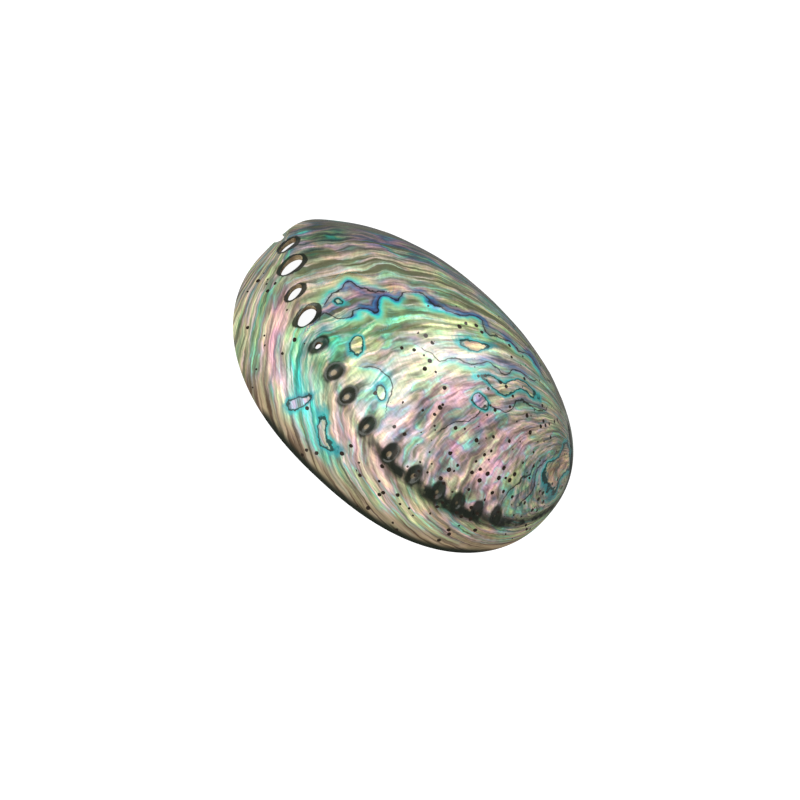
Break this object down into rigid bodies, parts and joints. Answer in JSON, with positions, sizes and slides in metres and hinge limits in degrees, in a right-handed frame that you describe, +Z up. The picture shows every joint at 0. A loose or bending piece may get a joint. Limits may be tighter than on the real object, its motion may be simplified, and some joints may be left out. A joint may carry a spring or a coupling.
{
  "type": "abalone shell",
  "caption": "Polished abalone shell: an oval mother-of-pearl dome with a row of breathing holes along its keel, a low coiled spire at one end and a hollow underside, resting on its rim.",
  "frame": {"origin": "middle of the rim plane, on the surface that the shell rests on", "axes": "+X towards the spire along the shell's length, -Y towards the row of breathing holes, +Z up out of the dome"},
  "size_m": [0.1498, 0.1124, 0.041],
  "materials": {
    "nacre": "polished nacre, glossy, iridescent green, cream, pink and blue"
  },
  "bodies": {
    "root": {"shell": "nacre"}
  },
  "joints": []
}
